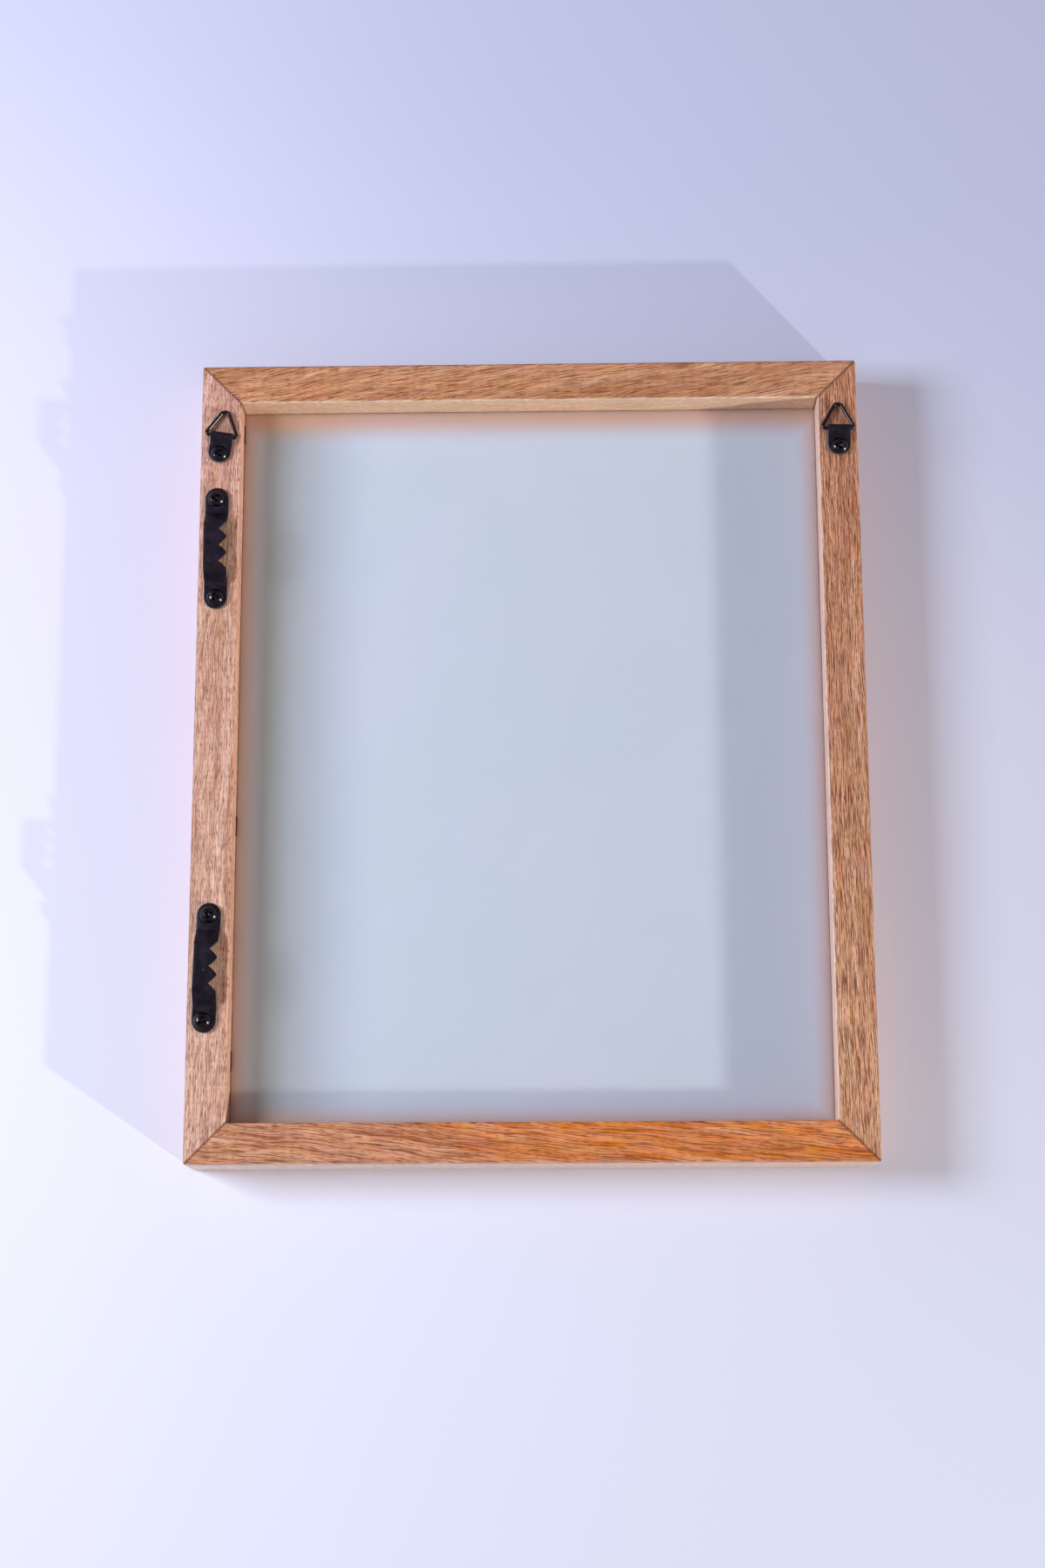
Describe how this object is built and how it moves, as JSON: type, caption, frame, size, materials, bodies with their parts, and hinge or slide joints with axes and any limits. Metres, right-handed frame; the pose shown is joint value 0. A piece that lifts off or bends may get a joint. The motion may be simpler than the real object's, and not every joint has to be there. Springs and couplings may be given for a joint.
{
  "type": "wooden picture frame",
  "caption": "Mitred hardwood picture frame with a frosted sheet in its rabbet, sawtooth hangers on one side rail and strap hangers with swinging rings near the top.",
  "frame": {"origin": "centre of the frame's outline on the plane of its front face, with the frame lying face down", "axes": "+Y towards the top rail, +Z out of the back, +X to the right as the back is seen"},
  "size_m": [0.233, 0.2838, 0.0259],
  "materials": {
    "wood": "open-pored, oiled",
    "frosted_sheet": "frosted, see-through only close behind",
    "dark_wire": "dark bronzed wire",
    "pale_steel": "bright drawn steel",
    "black_plate": "satin black",
    "black_gloss": "glossy black"
  },
  "bodies": {
    "frame": {"top_rail": "wood", "bottom_rail": "wood", "left_rail": "wood", "right_rail": "wood", "frosted_sheet": "frosted_sheet", "sheet_staple_upper": "dark_wire", "sheet_staple_middle": "dark_wire", "sheet_staple_lower": "dark_wire", "corner_pin_top_left_upright": "pale_steel", "corner_pin_top_left_cross": "pale_steel", "corner_pin_top_right_upright": "pale_steel", "corner_pin_top_right_cross": "pale_steel", "corner_pin_bottom_left_upright": "pale_steel", "corner_pin_bottom_left_cross": "pale_steel", "corner_pin_bottom_right_upright": "pale_steel", "corner_pin_bottom_right_cross": "pale_steel", "sawtooth_hanger_upper": "black_plate", "sawtooth_hanger_lower": "black_plate", "sawtooth_screw_upper_top": "black_gloss", "sawtooth_screw_upper_bottom": "black_gloss", "sawtooth_screw_lower_top": "black_gloss", "sawtooth_screw_lower_bottom": "black_gloss", "strap_hanger_left": "black_plate", "strap_hanger_right": "black_plate", "strap_screw_left": "black_gloss", "strap_screw_right": "black_gloss"},
    "left_ring": {"hanging_ring_left": "black_gloss"},
    "right_ring": {"hanging_ring_right": "black_gloss"}
  },
  "joints": [
    {"name": "left_ring_hinge", "type": "hinge", "parent": "frame", "child": "left_ring", "pos_m": [-0.10922, 0.11503, 0.02245], "axis": [0.9882, -0.153, 0], "range_deg": [0, 150]},
    {"name": "right_ring_hinge", "type": "hinge", "parent": "frame", "child": "right_ring", "pos_m": [0.10948, 0.11565, 0.02245], "axis": [1, -0.0087, 0], "range_deg": [0, 150]}
  ]
}
